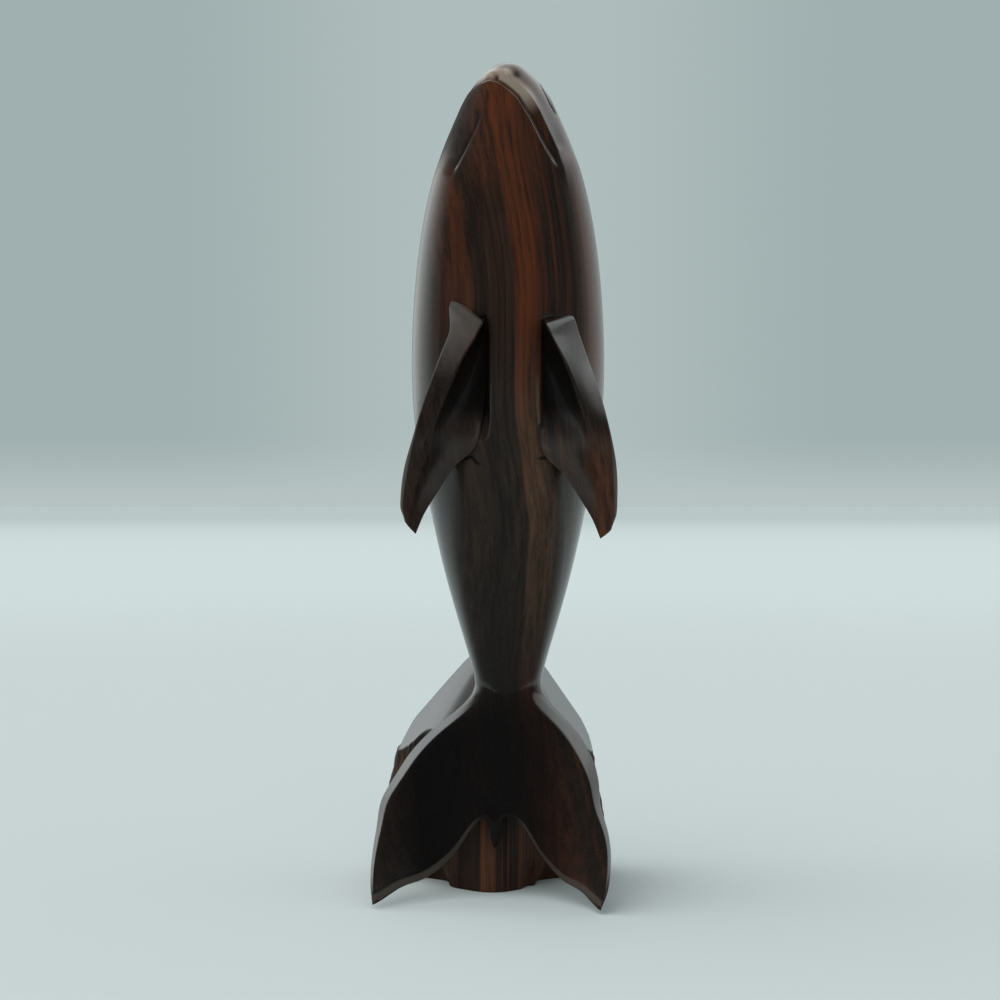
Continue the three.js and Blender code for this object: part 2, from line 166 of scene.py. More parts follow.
print("words for node trees ready")

# %% [markdown]
# ## The grain
# The wood is near black with red-brown streaks that run up the body, and on close sight it has short fine
# pores along the same direction. A picture of wood wrapped round the body would stretch at the fins, so
# the grain is a solid pattern: sheets of colour stand upright through the block, and the carving cuts
# them open wherever it goes. All pieces come from such a block, so the pattern is one node group that
# reads the place in the block. Its streaks are a list of places across the block, leaning a little with
# height.

# %% Streaks
STREAK_REACH = 34
# Place across the block and how red the wood is there
STREAKS = [
    (-34, 0.4), (-24, 0.12), (-19, 0.14), (-16.5, 0.35), (-14, 0.5), (-11.3, 0.62), (-9.8, 0.4),
    (-8.2, 0.08), (-5, 0.16), (-1, 0.2), (1.6, 0.22), (2.4, 1.0), (5.5, 0.95), (8.5, 0.85), (11, 0.6),
    (12.5, 0.2), (14.6, 0.12), (15.3, 0.7), (16.2, 0.12), (18.9, 0.1), (19.7, 0.6), (20.8, 0.12),
    (24.5, 0.15), (28, 0.75), (32, 0.55),
]


def streak_level(tree, across):
    """How red the wood is at a place across the block."""
    reach = tree.calc("DIVIDE", tree.plus(across, STREAK_REACH), 2 * STREAK_REACH)
    node = tree.add("ShaderNodeValToRGB", {"Fac": reach})
    places = node.color_ramp.elements
    while len(places) < len(STREAKS):
        places.new(0.5)
    for place, (at, level) in zip(places, STREAKS):
        place.position = (at + STREAK_REACH) / (2 * STREAK_REACH)
        place.color = (level, level, level, 1)
    return node.outputs["Color"]


print(len(STREAKS), "streak places")

# %% Grain group
FADED_RED = srgb(86, 63, 46)
CORE_BLACK = srgb(13, 12, 12)
PORE_DARK = srgb(11, 9, 8)


def make_grain():
    numbers = dict.fromkeys(("Redness", "Low Tone", "Black Core", "Seed"), "Float")
    tones = dict.fromkeys(("Dark Tone", "Brown Tone", "Red Tone"), "Color")
    takes = {"Place": "Vector"} | numbers | tones
    gives = {"Color": "Color", "Roughness": "Float", "Height": "Float"}
    tree, entry, leave = open_group("hardwood_grain", "ShaderNodeTree", takes, gives)
    calc, ease, mix, plus, times = tree.calc, tree.ease, tree.mix, tree.plus, tree.times
    to_mm = {0: entry["Place"], "Scale": 1 / MM}
    x, y, z = tree.split(tree.vector("SCALE", to_mm)[0])
    low = entry["Low Tone"]

    def swing(value, size):
        return times(calc("SUBTRACT", value, 0.5), size)

    def cloud(sizes, detail=2.0, rough=0.5, side=x):
        """Noise with a size along each axis, so that it can be drawn out along the grain."""
        spots = [calc("DIVIDE", value, size) for value, size in zip((side, y, z), sizes)]
        place = tree.add("ShaderNodeCombineXYZ", dict(enumerate(spots))).outputs[0]
        return tree.noise(place, entry["Seed"], detail, rough)

    # The sheets lean with depth and height and waver a little
    slow = cloud((34, 34, 120))
    waver = cloud((7, 7, 42), 3)
    mottle = cloud((5, 5, 15), 3, 0.6)
    across = plus(
        x,
        times(plus(y, 29.0), 0.28),
        ease(z, 176, 240, 0.0, 7.0),
        ease(z, 152, 100, 0.0, -7.5),
        swing(slow, 3.6),
        swing(waver, 2.2),
    )
    lines = cloud((1.3, 3.0, 70), 3, 0.6, across)
    fibres = cloud((0.34, 0.8, 15), 2, 0.6, across)
    pores = ease(cloud((0.2, 0.2, 4.5), 1, 0.5, across), 0.62, 0.7)

    # The throat is red all over, the tail keeps only a share of its brown and red
    throat = times(ease(z, 192, 218), ease(calc("ABSOLUTE", x), 15, 8), 0.55)
    red = calc("MAXIMUM", streak_level(tree, across), throat)
    strength = plus(0.72, swing(lines, 2.2), swing(fibres, 1.0), swing(mottle, 1.1))
    redder = times(red, strength, entry["Redness"], clamp=True)
    upper = calc("MAXIMUM", ease(x, -4, 4), ease(z, 140, 175, low, 1.0))
    redder = times(redder, ease(z, 70, 120, low, 1.0), upper)
    brown = ease(plus(lines, swing(fibres, 0.35)), 0.36, 0.7)
    brown = times(brown, ease(z, 60, 118, low, 1.0))
    faded = calc("SUBTRACT", 1.0, ease(z, 120, 172, low, 1.0))
    faded = times(faded, ease(z, 55, 80), 1.5, clamp=True)
    red_tone = mix(faded, entry["Red Tone"], FADED_RED)
    warm = mix(redder, mix(brown, entry["Dark Tone"], entry["Brown Tone"]), red_tone)

    # A black core shows on the flukes, and pores are dark, dull and sunk
    off_core = calc("ABSOLUTE", plus(x, 8.0))
    core = times(ease(z, 72, 46), ease(off_core, 30, 17), entry["Black Core"])
    cored = mix(core, warm, CORE_BLACK)
    tree.feed(leave["Color"], mix(times(pores, 0.5), cored, PORE_DARK))
    satin = plus(0.26, times(pores, 0.16), swing(slow, 0.1), swing(fibres, 0.06))
    tree.feed(leave["Roughness"], satin)
    tree.feed(leave["Height"], calc("SUBTRACT", swing(fibres, 0.3), pores))
    return tree.tree


grain = make_grain()
print("grain group with", len(grain.nodes), "nodes")

# %% [markdown]
# ## Waxed wood
# Waxed hardwood is dark under a thin clear film, so the shader is a dark colour under a coat. Creases,
# cuts and scooped hollows get painted shade, a near black. The jaw's tip and lip, the trailing bevel and
# the flippers get a painted highlight or sheen, a pale or grey tone. Split or scraped places have no film.
# Each piece marks these in four attributes from 0 to 1, in this order: painted shade in creases and
# hollows, painted highlight and sheen, split sides and scraped faces. A wood can have its streaks moved or
# drawn together, and can be red only below a level.

# %% Waxed wood
MARKS = ("carved", "painted_sheen", "rough", "dull")
# Near black of the painted shade in creases, cuts and hollows
PAINTED_CREASE_SHADE = srgb(5, 3, 2)
COAT = 0.5
# Pale tone of the painted highlight on the jaw's tip and lip and on the trailing bevel
PAINTED_PALE_SHEEN = (178, 164, 148)


def wood(
    name, redness, dark, brown, red,
    seed=0.0, core=0.0, low=1.0, sheen_tone=PAINTED_PALE_SHEEN, squeeze=1.0, shift=0.0, red_below=None,
):
    material = bpy.data.materials.new(name)
    material.use_nodes = True
    tree = Tree(material.node_tree)
    add, calc, feed, mix, times = tree.add, tree.calc, tree.feed, tree.mix, tree.times
    shader = tree.tree.nodes["Principled BSDF"].inputs
    spot = add("ShaderNodeTexCoord").outputs["Object"]
    moved = {0: spot, 1: (squeeze, 1, 1), 2: (shift * MM, 0, 0)}
    place = tree.vector("MULTIPLY_ADD", moved)[0]
    if red_below:
        level = tree.split(place)["Z"]
        redness = tree.ease(level, (red_below + 2) * MM, (red_below - 6) * MM, 0.1, redness)
    settings = {
        "Place": place, "Redness": redness, "Low Tone": low, "Black Core": core, "Seed": seed,
        "Dark Tone": srgb(*dark), "Brown Tone": srgb(*brown), "Red Tone": srgb(*red),
    }
    block = add("ShaderNodeGroup", settings, node_tree=grain).outputs
    carved, painted_sheen, rough, dull = (
        add("ShaderNodeAttribute", attribute_name=mark).outputs["Fac"] for mark in MARKS
    )
    scraped = calc("MAXIMUM", rough, dull)
    # Painted shade: creases, cuts and hollows darken towards near black
    waxed_and_shaded = mix(carved, block["Color"], PAINTED_CREASE_SHADE)
    # Painted highlight and sheen: marked places lighten towards the sheen tone
    feed(shader["Base Color"], mix(times(painted_sheen, 0.8), waxed_and_shaded, srgb(*sheen_tone)))
    coarser = times(calc("MAXIMUM", carved, scraped), 0.42)
    feed(shader["Roughness"], tree.plus(block["Roughness"], coarser))
    bare = calc("MAXIMUM", scraped, times(carved, 0.9))
    feed(shader["Coat Weight"], calc("MULTIPLY_ADD", bare, -COAT, COAT))
    shader["Coat Roughness"].default_value = 0.1
    shader["Specular IOR Level"].default_value = 0.3
    shader["IOR"].default_value = 1.5
    dents = {"Strength": 0.12, "Distance": 0.25 * MM, "Height": block["Height"]}
    feed(shader["Normal"], add("ShaderNodeBump", dents).outputs["Normal"])
    return material


heartwood = wood("waxed_heartwood", 1.0, (26, 24, 22), (42, 36, 31), (89, 45, 24), core=0.8, low=0.38)
print("material", heartwood.name)

# %% [markdown]
# ## Lofting tools
# The body, flippers, fin and base are all lofts: a list of sections with the same number of points,
# joined by quads. Sections are given at a few stations and read off in between by a smooth curve through
# them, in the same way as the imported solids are, so both have one shape. Numbers are kept in numpy
# arrays, because a whole skin is then bent or dented in one line.


# %% Curves and normals
def ramp(low, high, value):
    """Smooth rise from 0 at low to 1 at high, or a fall where high is the lesser."""
    share = np.clip((value - low) / (high - low), 0, 1)
    return share * share * (3 - 2 * share)


def band(value, low, full, falling, high):
    """1 from full to falling, easing out to 0 at low and at high."""
    return ramp(low, full, value) * ramp(high, falling, value)


def bell(value, width):
    return np.exp(-((value / width) ** 2))


def through(values, shares):
    """Smooth curve through a list of values, read at shares of the list."""
    values = np.asarray(values, float)
    last = len(values) - 1
    place = np.clip(shares, 0, 1) * last
    at = np.minimum(place.astype(int), last - 1)
    step = place - at
    start, end = values[at], values[at + 1]
    leave = (end - values[np.maximum(at - 1, 0)]) / 2
    arrive = (values[np.minimum(at + 2, last)] - start) / 2
    cube = (2 * start - 2 * end + leave + arrive) * step**3
    square = (-3 * start + 3 * end - 2 * leave - arrive) * step**2
    return cube + square + leave * step + start


def skin_normals(rings):
    """Outward direction at every point of a grid of rings that run round as the body's do."""
    along = np.gradient(rings, axis=0)
    around = (np.roll(rings, -1, axis=1) - np.roll(rings, 1, axis=1)) / 2
    normal = np.cross(along, around)
    length = np.linalg.norm(normal, axis=2, keepdims=True)
    return normal / np.maximum(length, 1e-9)


print("curve tools ready")


# %% Meshes from rings
def loft_faces(ring_count, points, first_pole, last_pole):
    """Quads between rings. A pole end is a fan, any other end is closed by joining facing points."""
    faces = []
    for ring in range(ring_count - 1):
        for point in range(points):
            a = ring * points + point
            b = ring * points + (point + 1) % points
            faces.append((a, a + points, b + points, b))
    last = (ring_count - 1) * points
    for point in range(points // 2):
        a, b = point, point + 1
        c, d = (points - point) % points, points - point - 1
        if not first_pole:
            faces.append((a, b, d, c))
        if not last_pole:
            faces.append((last + a, last + c, last + d, last + b))
    return faces


def mesh_object(name, points, faces, material, marks=None):
    """Closed smooth mesh from points in millimetres, with its marks as attributes."""
    mesh = bpy.data.meshes.new(name)
    corners = [list(dict.fromkeys(face)) for face in faces]
    mesh.from_pydata((np.asarray(points) * MM).tolist(), [], [ring for ring in corners if len(ring) > 2])
    for mark in MARKS:
        values = (marks or {}).get(mark, np.zeros(len(points)))
        layer = mesh.attributes.new(mark, "FLOAT", "POINT")
        layer.data.foreach_set("value", np.clip(values, 0, 1).astype(np.float32))
    mesh.validate()
    mesh.shade_smooth()
    mesh.materials.append(material)
    piece = bpy.data.objects.new(name, mesh)
    show(piece)
    return piece


def settle(piece, node):
    """The piece moves with the one body and stands for its solid, which is hidden."""
    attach(piece, "root")
    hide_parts(node)
    low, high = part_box(node)
    print(piece.name, len(piece.data.polygons), "faces; solid", [round(s / MM, 1) for s in high - low], "mm")


print("mesh tools ready")

# %% [markdown]
# ## Body
# Head, belly, tail stock and both flukes are one carving. Its sections are rounds from the snout down to
# the tail stock, and below that they spread sideways and lean forward into the flukes, with the edge of
# each row falling faster than its middle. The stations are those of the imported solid. The rings stand
# closer where the knife worked finer: at the head, at the flipper roots and along the trailing edge.

# %% Body sections
HEIGHT = 248.5
CHEST_WIDTH = 58.6
CHEST_BELLY = 29
CHEST_BACK = 32
STOCK_HEIGHT = 60
STOCK_WIDTH = 20
STOCK_DEPTH = 20
STOCK_SETBACK = 1
FLUKE_SPAN = 68
FLUKE_REACH = 47.5
FLUKE_TIP_HEIGHT = 1.2
NOTCH_HEIGHT = 23.5
NOTCH_REACH = 18
TOOTH_DROP = 9.5
TOOTH_HALF = 2.7
TOOTH_PLACE = -1.3
TAIL_TURN = -8
WAIST_HEIGHT = 105

# Share of the way up from the tail stock, half width, belly and back as shares of the chest
BODY_STATIONS = np.array([
    (1.0, 0.0, 0.241, -0.218), (0.997, 0.11, 0.397, -0.078), (0.986, 0.205, 0.583, 0.07),
    (0.955, 0.392, 0.75, 0.275), (0.9, 0.575, 0.85, 0.505), (0.821, 0.775, 0.912, 0.755),
    (0.705, 0.928, 0.962, 0.922), (0.553, 1.0, 1.0, 1.0), (0.421, 0.97, 0.972, 0.985),
    (0.305, 0.83, 0.828, 0.872), (0.195, 0.672, 0.645, 0.705), (0.11, 0.52, 0.485, 0.545),
    (0.045, 0.395, 0.36, 0.415),
])
# Share of the way down at the leading edge and at the middle, spread, thickness
FLUKE_STATIONS = np.array([
    (0.0, 0.0, 0.0, 1.0), (0.1, 0.18, 0.19, 0.9), (0.22, 0.34, 0.5, 0.78), (0.375, 0.5, 0.735, 0.65),
    (0.545, 0.66, 0.89, 0.52), (0.73, 0.815, 0.985, 0.4), (0.9, 0.935, 1.0, 0.3), (1.0, 1.0, 0.95, 0.22),
])
ROW_DROP = [0, 0.08, 0.5, 0.75, 0.84, 1]
BODY_RINGS = 330
BODY_POINTS = 264


def station_fields():
    rise, half, belly, back = BODY_STATIONS.T
    level = STOCK_HEIGHT + rise * (HEIGHT - STOCK_HEIGHT)
    front, rear = -belly * CHEST_BELLY, back * CHEST_BACK
    middle = (front + rear) / 2
    lead, mid, spread, thick = FLUKE_STATIONS.T
    fields = {
        "half": (half * CHEST_WIDTH / 2, (STOCK_WIDTH + spread * (FLUKE_SPAN - STOCK_WIDTH)) / 2),
        "front": (middle - front, thick * STOCK_DEPTH / 2),
        "rear": (rear - middle, thick * STOCK_DEPTH / 2),
        "mid_y": (middle, STOCK_SETBACK - mid**1.35 * NOTCH_REACH),
        "lead_y": (middle, STOCK_SETBACK - lead**1.15 * FLUKE_REACH),
        "mid_z": (level, STOCK_HEIGHT - mid * (STOCK_HEIGHT - NOTCH_HEIGHT)),
        "lead_z": (level, STOCK_HEIGHT - lead * (STOCK_HEIGHT - FLUKE_TIP_HEIGHT)),
    }
    return {name: np.concatenate(pair) for name, pair in fields.items()}


FIELDS = station_fields()
STATION_COUNT = len(FIELDS["half"])
FLUKE_START = len(BODY_STATIONS) / (STATION_COUNT - 1)


def ring_shares(count):
    """Shares of the station list, closer together where there is fine carving."""
    fine = np.linspace(0, 1, 4000)
    level = through(FIELDS["mid_z"], fine)
    edge = through(FIELDS["lead_z"], fine)
    walk = np.abs(np.gradient(level)) + 0.3 * np.abs(np.gradient(edge)) + 0.12 * np.gradient(fine) * HEIGHT
    head = ramp(196, 214, level)
    nicks = band(level, 122, 126, 131, 135)
    trailing = ramp(0.93, 0.97, fine)
    weight = 1 + 2.2 * head + 2.5 * nicks + 2.5 * trailing
    path = np.concatenate([[0], np.cumsum((walk * weight)[1:])])
    return np.interp(np.linspace(0, path[-1], count), path, fine)


shares = ring_shares(BODY_RINGS)
print("body has", BODY_RINGS, "rings of", BODY_POINTS, "points")

# %% [markdown]
# The skin itself is one formula. A point has a bearing round the section, from the belly to the right
# side and on round the back. Its depth and its level slide from those of the middle to those of the
# leading edge as it goes outward, which folds the flat tail out of a round body. The last rows are cut
# back at the front, so the trailing edge gets the flat bevel that shows pale in the photograph. The
# leading edges have a chamfer that thins out towards the tips, sooner on the right fluke, and the flukes
# aren't quite alike in width.

# %% Body skin
SMOOTHING = 0.28
BEVEL_START = 0.925
EDGE_CHAMFER = 3.4
EDGE_BACK = 2.6
LEFT_SPREAD = 0.1
RIGHT_SPREAD = 0.02
TAIL_SWAY = 1.2


def smooth_field(values, at):
    """The curve through the stations with its small kinks rubbed out, as sanding does."""
    fine = np.linspace(0, 1, 4001)
    curve = through(values, fine)
    spread = SMOOTHING / (STATION_COUNT - 1) * 4000
    reach = int(4 * spread)
    weights = np.exp(-0.5 * (np.arange(-reach, reach + 1) / spread) ** 2)
    ahead = 2 * curve[0] - curve[reach:0:-1]
    behind = 2 * curve[-1] - curve[-2:-reach - 2:-1]
    sanded = np.convolve(np.concatenate([ahead, curve, behind]), weights / weights.sum(), "valid")
    return np.interp(at, fine, sanded)


def body_grid(at, points):
    """Rings of the skin, how far each point faces ahead, and where the trailing edge is cut back."""
    field = {name: smooth_field(values, at)[:, None] for name, values in FIELDS.items()}
    bearing = ((0.25 + np.arange(points) / points) * 2 * math.pi)[None, :]
    side, ahead = np.sin(bearing), np.cos(bearing)
    out = np.abs(side)
    tail = np.clip((at - FLUKE_START) / (1 - FLUKE_START), 0, 1)[:, None]
    bevel = np.clip((tail - BEVEL_START) / (1 - BEVEL_START), 0, 1)
    wider = LEFT_SPREAD * band(tail, 0.12, 0.42, 0.45, 1) * (side < 0)
    wider = wider + RIGHT_SPREAD * band(tail, 0.6, 0.75, 0.85, 1) * (side > 0)
    x = field["half"] * side * (1 + wider) - TAIL_SWAY * out**2 * bell(tail - 0.57, 0.07)
    front = field["front"] * (1 - 1.75 * bevel * (0.2 + 0.8 * ramp(5, 15, np.abs(x))))
    thinning = np.where(side < 0, 0.68 * ramp(0.35, 0.95, tail), 0.8 * ramp(0.25, 0.72, tail))
    inward = (1 - out) * np.maximum(field["half"], 1) / (EDGE_CHAMFER * (1 - thinning))
    flat = ramp(0, 0.45, tail)
    fullness = (1 - flat) * np.maximum(ahead, 0) + flat * np.minimum(inward, 1) ** 0.8
    depth = np.where(ahead > 0, front * fullness, field["rear"] * ahead)
    edge_back = EDGE_BACK * flat * (1 - 0.88 * thinning) * ramp(1.5, 0, inward)
    y = field["mid_y"] + (field["lead_y"] - field["mid_y"]) * out**1.7 - depth + edge_back
    tooth = TOOTH_DROP * np.clip((tail - 0.84) / 0.16, 0, 1) ** 1.5
    z = field["mid_z"] + (field["lead_z"] - field["mid_z"]) * through(ROW_DROP, out)
    z = z - tooth * (0.5 + 0.5 * np.cos(math.pi * np.minimum(np.abs(x - TOOTH_PLACE) / TOOTH_HALF, 1)))
    turn = np.radians(TAIL_TURN) * ramp(WAIST_HEIGHT, NOTCH_HEIGHT, field["mid_z"])
    turned_x = x * np.cos(turn) - y * np.sin(turn)
    turned_y = x * np.sin(turn) + y * np.cos(turn)
    # Marks the trailing bevel, which gets a pale painted sheen and a duller finish
    cut_back = ramp(0, 0.15, bevel) * ramp(0, 0.2, ahead) * ramp(4, 10, np.abs(x))
    return np.stack([turned_x, turned_y, z], axis=2), np.broadcast_to(ahead, x.shape), cut_back


body_rings, facing, bevel_marks = body_grid(shares, BODY_POINTS)
print("skin from", body_rings[..., 2].min().round(1), "to", body_rings[..., 2].max().round(1), "mm")

# %% [markdown]
# ## Carving on the body
# The lower jaw stands a little proud between two straight cuts that spread down the throat, and the upper
# jaw behind it has a lip with small marks. A pale painted highlight lies on the lip and the raised marks.
# A soft ridge sets off the flat right cheek. Beside the breast band the knife scooped a hollow towards each
# flipper and left a short nick at the end of the flipper root. All of these are dents along the skin's own
# direction, so they are sums of smooth steps over the place on the skin. The creases of the cuts and nicks,
# the sunk marks and the hollows are darkened with painted shade.

# %% Knife cuts
# Rim of the lower jaw from the left outline over the tip and down the right cut, then the left cut, x and z
JAW_RIM = [
    (-11.6, 237.8), (-10.6, 239.2), (-8.8, 240.4), (-5.9, 241.1), (-3.8, 240.7), (-1.5, 239.1),
    (0.6, 237.4), (2.8, 235.4), (6.5, 229.6), (9.4, 224.0), (12.4, 218.7), (15.6, 213.2),
]
JAW_LEFT_CUT = [(-17.0, 212.0), (-13.0, 219.0), (-9.7, 225.4), (-6.6, 232.5)]
# Path of each jaw cut, its depth, and the shares of it that fade in and out
JAW_CUTS = [(JAW_RIM, 1.0, 0.1, 0.2), (JAW_LEFT_CUT, 0.8, 0.25, 0.35)]
# Ridge in front of the flat right cheek, and its height
CHEEK_RIDGE = [(3.5, 240.4), (9.4, 231.5), (14.8, 220.3), (18.3, 207.9)]
RIDGE_RISE = 0.9
# Scoops beside the breast band: side, edge of the band, depth, softness of the wall and darkness of the
# painted shade
HOLLOWS = [(-1, 5.3, 3.6, 1.2, 0.9), (1, 8.8, 3.2, 3.4, 0.8)]
# Nicks at the ends of the flipper roots, left and right
NICKS = [
    [(-15.6, 126.6), (-13.6, 129.0), (-10.8, 129.8), (-9.4, 128.0), (-7.2, 126.6)],
    [(17.4, 126.8), (15.0, 129.0), (12.2, 129.6), (7.6, 128.8)],
]
# Marks on the tip of the upper jaw: x, z, radius and height; raised ones get a painted highlight, sunk ones
# painted shade
TIP_MARKS = [
    (-5.4, 243.4, 1.5, 0.45), (-0.4, 243.2, 1.7, 0.5), (-3.7, 242.2, 0.8, -0.8), (2.2, 243.0, 1.2, -0.35),
]


def beside_path(x, z, path):
    """Distance to the left of a path, less than zero to its right, and the share of the way along it."""
    corners = np.array(path)
    lengths = np.linalg.norm(np.diff(corners, axis=0), axis=1)
    ways = np.concatenate([[0], np.cumsum(lengths)])
    best = np.full(x.shape, 1e9)
    beside, along = np.zeros(x.shape), np.zeros(x.shape)
    for (x0, z0), (x1, z1), length, way in zip(corners[:-1], corners[1:], lengths, ways):
        run_x, run_z = (x1 - x0) / length, (z1 - z0) / length
        step = np.clip((x - x0) * run_x + (z - z0) * run_z, 0, length)
        off_x, off_z = x - x0 - step * run_x, z - z0 - step * run_z
        away = np.hypot(off_x, off_z)
        nearer = away < best
        best = np.where(nearer, away, best)
        beside = np.where(nearer, away * np.sign(run_x * off_z - run_z * off_x), beside)
        along = np.where(nearer, (way + step) / ways[-1], along)
    return beside, along


def jaw_step(x, z, path, depth, start_fade, end_fade):
    """Step down on the left of a path, easing back to the skin; also the painted shade in the crease at its
    foot.
    """
    outside, along = beside_path(x, z, path)
    fade = band(along, 0, start_fade, 1 - end_fade, 1)
    below = ramp(-0.8, 0.8, outside)
    proud = (1 - below) * 0.4 * bell(outside, 5)
    drop = below * depth * np.exp(-np.maximum(outside, 0) / 9)
    return fade * (proud - drop), fade * 0.6 * bell(outside - 1.0, 0.5)


def cheek_ridge(x, z):
    """Ridge that flattens the cheek on its right and falls off more sharply on its left."""
    outside, along = beside_path(x, z, CHEEK_RIDGE)
    right = np.clip(1 - outside / 3.2, 0, 1) ** 2
    left = ramp(-2.4, 0, outside)
    fade = band(along, 0, 0.2, 0.6, 1)
    return RIDGE_RISE * fade * np.where(outside > 0, right, left), 0 * x


def breast_hollow(x, z, side, edge, depth, soft, shade):
    """Scoop between the breast band and one flipper, and the painted shade in it."""
    inside = side * x - edge
    wall = ramp(0, soft, inside) * (0.7 + 0.3 * ramp(0, 6, inside))
    reach = 7.0 + 0.22 * (170 - z)
    across = wall * ramp(reach + 3, reach, inside)
    dent = -depth * across * band(z, 133, 146, 164, 171)
    return dent, shade * across * band(z, 138.5, 144.5, 170, 173)


def root_nick(x, z, path):
    """Short crooked knife cut along a path on the front, thinning out at its ends, and the painted shade
    along it.
    """
    away, along = beside_path(x, z, path)
    fade = band(along, 0, 0.15, 0.75, 1)
    return -0.4 * fade * bell(away, 0.3), fade * bell(away, 0.42)


def carve_body(rings):
    """The rings with their cuts, and marks of painted shade in creases, painted highlight on the lip and jaw
    tip, and the dull left cheek.
    """
    x, y, z = np.moveaxis(rings, 2, 0)
    front = ramp(-0.05, 0.2, facing)
    dent, carved = np.zeros(x.shape), np.zeros(x.shape)
    cuts = [jaw_step(x, z, *cut) for cut in JAW_CUTS] + [cheek_ridge(x, z)]
    cuts += [breast_hollow(x, z, *hollow) for hollow in HOLLOWS]
    cuts += [root_nick(x, z, nick) for nick in NICKS]
    # Each cut's crease is painted shade
    for cut, crease in cuts:
        dent = dent + cut * front
        carved = np.maximum(carved, crease * front)
    # Painted highlight on the lip beside the jaw rim and on the raised tip marks; painted shade in the sunk
    # ones
    outside, along = beside_path(x, z, JAW_RIM)
    lip = band(along, 0.02, 0.1, 0.4, 0.58) * front
    dent = dent + lip * 0.45 * bell(outside - 2.6, 2.0)
    lip_and_tip_highlight = 0.7 * lip * band(outside, 0.7, 1.5, 3.4, 6)
    for mark_x, mark_z, radius, height in TIP_MARKS:
        spot = bell(np.hypot(x - mark_x, z - mark_z), radius) * front
        dent = dent + height * spot
        if height > 0:
            lip_and_tip_highlight = np.maximum(lip_and_tip_highlight, spot)
        else:
            carved, lip_and_tip_highlight = np.maximum(carved, -height * spot), lip_and_tip_highlight * (1 - spot)
    cheek = band(z, 212, 227, 241, 245) * ramp(-6, -10, x) * ramp(6, -4, y)
    return rings + dent[..., None] * skin_normals(rings), carved, lip_and_tip_highlight, cheek


carved_rings, carved_marks, tip_highlights, cheek_marks = carve_body(body_rings)
print("deepest cut", np.abs(carved_rings - body_rings).max().round(1), "mm")

# %% [markdown]
# Each eye is let into the head with a fine groove round it. Its seat is found on the carved skin, at the
# height of the eye's solid and at a bearing, and the curve of the head round the seat is kept, because
# the eye follows it. The head is turned a little to the left, so the two bearings differ.

# %% Eye seats and the body piece
# Bearing of each eye round the head from the belly, in degrees
EYE_BEARINGS = {"left_eye": -104, "right_eye": 75}
EYE_LONG = 4.4
EYE_WIDE = 2.6
EYE_GROOVE = 0.45


def dome_terms(u, v):
    return np.stack([np.ones_like(u), u, v, u * u, u * v, v * v], axis=1)


points = carved_rings.reshape(-1, 3).copy()
points[:BODY_POINTS] = carved_rings[0].mean(axis=0)
body_normals = skin_normals(carved_rings).reshape(-1, 3)
eye_marks = np.zeros(len(points))
eye_seats = {}
for node, bearing in EYE_BEARINGS.items():
    low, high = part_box(node)
    ring = np.argmin(np.abs(body_rings[:, 0, 2] - (low[2] + high[2]) / 2 / MM))
    seat = ring * BODY_POINTS + round((bearing / 360 - 0.25) * BODY_POINTS) % BODY_POINTS
    out = body_normals[seat]
    across = np.cross((0, 0, 1), out)
    across = across / np.linalg.norm(across)
    up = np.cross(out, across)
    local = (points - points[seat]) @ np.stack([up, across, out]).T
    u, v, h = local[np.linalg.norm(local, axis=1) < 7].T
    curve = np.linalg.lstsq(dome_terms(u, v), h, rcond=None)[0]
    eye_seats[node] = (points[seat].copy(), up, across, out, curve)
    rim = np.hypot(local[:, 0] / EYE_LONG, local[:, 1] / EYE_WIDE) + 10 * (local[:, 2] < -6)
    groove = bell(rim - 1.08, 0.13)
    points = points - (EYE_GROOVE * groove)[:, None] * body_normals
    # The groove round each eye is darkened with painted shade
    eye_marks = np.maximum(eye_marks, groove)
# Painted shade in creases and eye grooves, painted highlight on jaw tip, lip and bevel, dull cheek and bevel
body_marks = {
    "carved": np.maximum(carved_marks.ravel(), eye_marks),
    "painted_sheen": np.maximum(tip_highlights, 0.18 * bevel_marks).ravel(),
    "dull": np.maximum(0.6 * bevel_marks, cheek_marks).ravel(),
}
faces = loft_faces(BODY_RINGS, BODY_POINTS, True, False)
faces = [tuple(0 if p < BODY_POINTS else p for p in face) for face in faces]
body = mesh_object("carved_body", points, faces, heartwood, body_marks)
settle(body, "dolphin_body")

# %% [markdown]
# ## Flippers
# Each flipper is a wedge that leaves the chest with a flat leading facet, turns over a sharp crest and
# runs into the scooped hollow beside the breast. Its section is three curves between the outer edge, the
# crest and the root. The corners are cut by a narrow bevel, because a sharp corner of polished wood
# always shows a line of light, and the outer edge gets a painted highlight too. The upper part of the
# hollow is darkened with painted shade and its lower part has a grey painted reflection. The back sinks
# into the chest, so that the joint closes and the peg stays hidden. The two flippers aren't alike: the left
# one has a narrower facet with a grey painted sheen on its upper part, and the right one a redder tip, so
# each has its own wood.

# %% Flipper sections
FLIPPER_TIPS = {-1: 107.0, 1: 105.6}
FLIPPER_TURN = 3.2
# Height of the shoulder's outer corner, and how far the crest starts below it, left and right
SHOULDERS = {-1: (177.0, 7.0), 1: (172.8, 2.8)}
